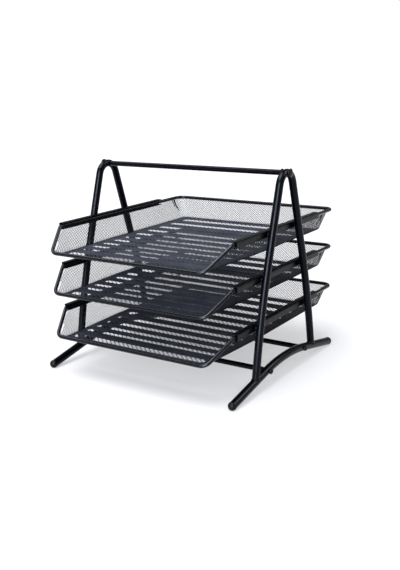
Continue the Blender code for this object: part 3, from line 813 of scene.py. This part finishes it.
def lattice(name, along, across, keep, place, weave):
    """Return a mesh of diamond-shaped holes between flat strands.

    along and across are (low, high) limits on the sheet, keep picks the holes by their centres,
    and place gives points on the sheet.
    """
    half_long, half_short = weave["long"] / 2.0, weave["short"] / 2.0
    thickness = weave["thickness"]
    diagonal = math.hypot(half_long, half_short)
    inset = weave["strand"] / 2.0
    hole_long = half_long - inset * diagonal / half_short
    hole_short = half_short - inset * diagonal / half_long
    row_low, row_high = math.floor(across[0] / half_short), math.ceil(across[1] / half_short)
    column_low, column_high = math.floor(along[0] / weave["long"]), math.ceil(along[1] / weave["long"])
    rows = np.arange(row_low, row_high + 1)
    columns = np.arange(column_low, column_high + 1)
    odd = rows[:, None] % 2
    center_s = (2 * columns[None, :] + odd) * half_long
    center_w = np.broadcast_to(rows[:, None] * half_short, center_s.shape)
    kept = keep(center_s, center_w)
    kept[[0, -1], :] = False
    kept[:, [0, -1]] = False
    shifts = np.array([(hole_long, 0.0), (0.0, hole_short), (-hole_long, 0.0), (0.0, -hole_short)])
    flat_s = (center_s[..., None] + shifts[:, 0]).ravel()
    flat_w = (center_w[..., None] + shifts[:, 1]).ravel()
    count = len(flat_s)

    row, column = np.nonzero(kept)
    right_column = column + odd[row, 0]
    left_column = right_column - 1
    width = len(columns)

    def corner(r, c, k):
        return (r * width + c) * 4 + k

    right, top, left, bottom = range(4)
    faces = []
    joined = kept[row + 1, right_column]
    r, c, c2 = row[joined], column[joined], right_column[joined]
    first = [corner(r, c, top), corner(r, c, right), corner(r + 1, c2, bottom), corner(r + 1, c2, left)]
    joined = kept[row + 1, left_column]
    r, c, c2 = row[joined], column[joined], left_column[joined]
    second = [corner(r, c, left), corner(r, c, top), corner(r + 1, c2, right), corner(r + 1, c2, bottom)]
    for quad in (first, second):
        faces += sheet_faces(quad, count)
        faces += edge_faces(quad[1], quad[0], count)
        faces += edge_faces(quad[3], quad[2], count)
    whole = kept[row + 1, right_column] & kept[row - 1, right_column] & kept[row, column + 1]
    r, c, c2 = row[whole], column[whole], right_column[whole]
    node = [corner(r, c, right), corner(r - 1, c2, top), corner(r, c + 1, left), corner(r + 1, c2, bottom)]
    faces += sheet_faces(node, count)
    faces = np.concatenate(faces)

    used, packed = np.unique(faces, return_inverse=True)
    sheet = place(flat_s, flat_w)
    step = 1e-4
    ahead = place(flat_s + step, flat_w) - place(flat_s - step, flat_w)
    upward = place(flat_s, flat_w + step) - place(flat_s, flat_w - step)
    normal = unit(np.cross(ahead, upward))
    points = np.concatenate([sheet + normal * thickness / 2.0, sheet - normal * thickness / 2.0])[used]
    mesh = bpy.data.meshes.new(name)
    mesh.from_pydata(points.tolist(), [], packed.reshape(faces.shape).tolist())
    mesh.validate()
    return mesh


def sheet_faces(quad, count):
    """Return the upper and the lower face of each quad."""
    upper = np.stack(quad, axis=1)
    return [upper, upper[:, ::-1] + count]


def edge_faces(start, end, count):
    """Return the face along each hole's side."""
    return [np.stack([start, end, end + count, start + count], axis=1)]


def wall_mesh():
    """Return the mesh of a basket's walls, with the fold that turns onto the floor."""
    surface = WallSurface()

    def keep(s, w):
        _, _, height = surface.fold_and_height(s.ravel())
        return (w <= height.reshape(s.shape) + WALL_REACH) & (s > 0.0) & (s < surface.length)

    tallest = surface.fold_and_height(surface.stops)[2].max() + WALL_REACH
    return lattice("basket_walls", (0.0, surface.length), (-FLOOR_OVERLAP, tallest), keep, surface.place,
                   WALL_MESH)


def pleat_mesh():
    """Return the pinched folds in the sheet at the two rear corners."""
    surface = WallSurface()
    top, inward = surface.top, surface.inward
    bm = bmesh.new()
    for sign in (-1, 1):
        corner = np.array([sign * RIM_HALF_WIDTH, RIM_BACK_Y, 0.0])
        index = int(np.argmin(np.linalg.norm(top - corner, axis=1)))
        for shift, lean, depth, radius in PLEATS:
            steps = np.linspace(0.0, 1.0, PLEAT_STEPS)
            s = surface.stops[index] + sign * (shift + lean * steps ** 2)
            height = surface.fold_and_height(s)[2]
            path = surface.place(s, height * (1.0 - depth * steps)) + surface.at(s)[2] * radius
            radii = radius * np.sqrt(np.clip(1.0 - steps ** 3, 0.02, 1.0))
            add_sweep(bm, [Vector(point) for point in path], radii.tolist(), PLEAT_SIDES)
    return mesh_from(bm, "corner_pleats")


def slots():
    """Return (middle line, width) of every slot, from back to front."""
    y = SLOT_BACK_Y
    found = []
    for step in range(SLOT_PITCH_COUNT + 1):
        share = step / (SLOT_PITCH_COUNT - 1)
        pitch = SLOT_BACK_PITCH + share * (SLOT_FRONT_PITCH - SLOT_BACK_PITCH)
        found.append((y, SLOT_WIDTH_SHARE * pitch))
        y -= pitch
    found.append((FRONT_SLOT_Y, FRONT_SLOT_WIDTH))
    return found


def band_mesh():
    """Return the open mesh that spans the slots in the floor plate."""

    def keep(x, y):
        over_slot = np.zeros(x.shape, dtype=bool)
        for center, width in slots():
            over_slot |= np.abs(y - center) < width / 2.0 + FLOOR_MESH["short"] / 2.0
        return over_slot & (np.abs(x) < SLOT_HALF_LENGTH + FLOOR_MESH["long"])

    def place(x, y):
        return np.stack([x, y, np.full(len(x), -FLOOR_DROP)], axis=1)

    width = (-FLOOR_HALF_WIDTH, FLOOR_HALF_WIDTH)
    depth = (FLOOR_FRONT_Y, FLOOR_BACK_Y)
    return lattice("floor_bands", width, depth, keep, place, FLOOR_MESH)


def slot_outline(center_y, half_width):
    """Return a slot's outline with rounded ends."""
    straight = SLOT_HALF_LENGTH - half_width
    right = arc((straight, center_y), half_width, -math.pi / 2.0, math.pi / 2.0, SLOT_END_STEPS)
    left = arc((-straight, center_y), half_width, math.pi / 2.0, 1.5 * math.pi, SLOT_END_STEPS)
    return right + left


def plate_mesh():
    """Return the slotted plate under the mesh floor."""
    top = -FLOOR_DROP - FLOOR_MESH["thickness"]
    surface = WallSurface()
    radius, _, _ = surface.fold_and_height(surface.stops)
    edge = surface.foot + surface.inward * radius[:, None]
    outlines = [[(x, y) for x, y, _ in edge[:-1]]]
    for center_y, width in slots():
        outlines.append(slot_outline(center_y, width / 2.0))
    bm = bmesh.new()
    edges = []
    for loop in outlines:
        verts = [bm.verts.new((x, y, top)) for x, y in loop]
        for first, second in zip(verts, verts[1:] + verts[:1]):
            edges.append(bm.edges.new((first, second)))
    bmesh.ops.triangle_fill(bm, use_beauty=True, edges=edges, normal=(0.0, 0.0, 1.0))
    lower = bmesh.ops.extrude_face_region(bm, geom=bm.faces[:])
    moved = [item for item in lower["geom"] if isinstance(item, bmesh.types.BMVert)]
    bmesh.ops.translate(bm, verts=moved, vec=(0.0, 0.0, -PLATE_THICKNESS))
    return mesh_from(bm, "floor_plate")


def build_trays():
    """Build the rim, the basket and the floor plate of every tray."""
    rim = bmesh.new()
    path = rim_path()
    add_sweep(rim, path, [RIM_RADIUS] * len(path), RIM_SIDES, closed=True)
    parts = {
        "wire_rim": (mesh_from(rim, "wire_rim"), "rim", "rim", "black_steel"),
        "mesh_walls": (wall_mesh(), "mesh", "mesh_basket", "black_mesh"),
        "floor_mesh": (band_mesh(), "floor_mesh", None, "black_mesh"),
        "corner_pleats": (pleat_mesh(), "mesh", None, "black_mesh"),
        "slotted_plate": (plate_mesh(), "plate", "floor_plate", "black_steel"),
    }
    for tier in TIERS:
        _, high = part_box(f"{tier}_tray_rim")
        for part, (mesh, material, node, slot_name) in parts.items():
            replaced = [f"{tier}_tray_{node}"] if node else []
            piece = finish_piece(f"{tier}_{part}", mesh.copy(), MATERIALS[material], f"{tier}_tray", replaced,
                                 smooth=part in ("wire_rim", "corner_pleats"))
            piece.location.z = high.z - RIM_RADIUS


# ---------------------------------------------------------------- stage


def build_floor():
    """Build the studio floor."""
    half = FLOOR_HALF_SIZE
    corners = [(-half, -half, 0), (half, -half, 0), (half, half, 0), (-half, half, 0)]
    mesh = bpy.data.meshes.new("studio_floor")
    mesh.from_pydata(corners, [], [(0, 1, 2, 3)])
    mesh.materials.append(light_table("studio_floor", FLOOR_COLOR, FLOOR_GLOW))
    floor = bpy.data.objects.new("studio_floor", mesh)
    bpy.context.collection.objects.link(floor)


def add_sun(name, azimuth, elevation, strength, spread, color):
    """Add a soft, distant light that shines from an azimuth and elevation in degrees."""
    light = bpy.data.lights.new(name, "SUN")
    light.energy = strength
    light.angle = math.radians(spread)
    light.color = color
    lamp = bpy.data.objects.new(name, light)
    a, e = math.radians(azimuth), math.radians(elevation)
    toward = Vector((math.sin(a) * math.cos(e), -math.cos(a) * math.cos(e), math.sin(e)))
    lamp.rotation_mode = "QUATERNION"
    lamp.rotation_quaternion = toward.to_track_quat("Z", "Y")
    bpy.context.collection.objects.link(lamp)


def build_world(backdrop, ambient):
    """Make a white backdrop that lights the scene with a softer ambient level."""
    world = bpy.data.worlds.new("studio")
    bpy.context.scene.world = world
    world.use_nodes = True
    tree = world.node_tree
    shown = tree.nodes["Background"]
    shown.inputs["Color"].default_value = (1.0, 1.0, 1.0, 1.0)
    shown.inputs["Strength"].default_value = backdrop
    around = tree.nodes.new("ShaderNodeBackground")
    around.inputs["Color"].default_value = (*AMBIENT_COLOR, 1.0)
    around.inputs["Strength"].default_value = ambient
    rays = tree.nodes.new("ShaderNodeLightPath")
    mix = tree.nodes.new("ShaderNodeMixShader")
    tree.links.new(rays.outputs["Is Camera Ray"], mix.inputs["Fac"])
    tree.links.new(around.outputs["Background"], mix.inputs[1])
    tree.links.new(shown.outputs["Background"], mix.inputs[2])
    tree.links.new(mix.outputs["Shader"], tree.nodes["World Output"].inputs["Surface"])


def build_camera():
    """Place the camera for a three-quarter view from the front right."""
    data = bpy.data.cameras.new("camera")
    data.sensor_width = SENSOR
    data.lens = LENS
    data.shift_x, data.shift_y = CAMERA_SHIFT
    data.clip_start, data.clip_end = 0.01, 100.0
    camera = bpy.data.objects.new("camera", data)
    back = Vector((math.sin(CAMERA_AZIMUTH) * math.cos(CAMERA_ELEVATION),
                   -math.cos(CAMERA_AZIMUTH) * math.cos(CAMERA_ELEVATION), math.sin(CAMERA_ELEVATION)))
    camera.location = CAMERA_TARGET + back * CAMERA_DISTANCE
    camera.rotation_mode = "QUATERNION"
    level = (-back).to_track_quat("-Z", "Y")
    camera.rotation_quaternion = level @ Quaternion((0.0, 0.0, 1.0), CAMERA_ROLL)
    bpy.context.collection.objects.link(camera)
    bpy.context.scene.camera = camera


MATERIALS = {
    "tube": powder_coat("satin_black_tube", (0.0002, 0.0003, 0.0009), (0.0007, 0.0010, 0.0022), 0.27, 0.12),
    "rail": powder_coat("satin_black_rail", (0.0003, 0.0003, 0.0005), (0.0009, 0.0010, 0.0014), 0.28, 0.10),
    "rim": powder_coat("satin_black_rim", (0.0003, 0.0004, 0.0009), (0.0010, 0.0012, 0.0022), 0.24, 0.30),
    # The floor bands' black strands are coloured much lighter than the wall mesh: painted highlight, standing
    # in for overhead light caught by the strands' tilted facets.
    "floor_mesh": powder_coat("floor_mesh_painted_highlight", (0.028, 0.031, 0.041), (0.045, 0.050, 0.063), 0.58,
                              0.06),
    "mesh": powder_coat("satin_black_mesh", (0.0025, 0.0028, 0.0040), (0.0045, 0.0050, 0.0066), 0.42, 0.08),
    # The plate's black coat is coloured lighter and bluish: painted light, standing in for the overhead light
    # that the floor's facets catch.
    "plate": powder_coat("painted_light_floor_plate", (0.020, 0.022, 0.030), (0.032, 0.035, 0.045), 0.60, 0.06),
    "plastic": moulded_plastic("black_moulded_plastic", (0.002, 0.002, 0.0025), 0.42),
    "zinc": zinc_steel("black_zinc_steel", (0.0050, 0.0050, 0.0060), 0.34),
}

build_camera()
build_world(BACKDROP_STRENGTH, AMBIENT_STRENGTH)
build_floor()
for light in LIGHTS:
    add_sun(*light)
bpy.context.scene.view_settings.view_transform = "Standard"
build_frame()
build_trays()
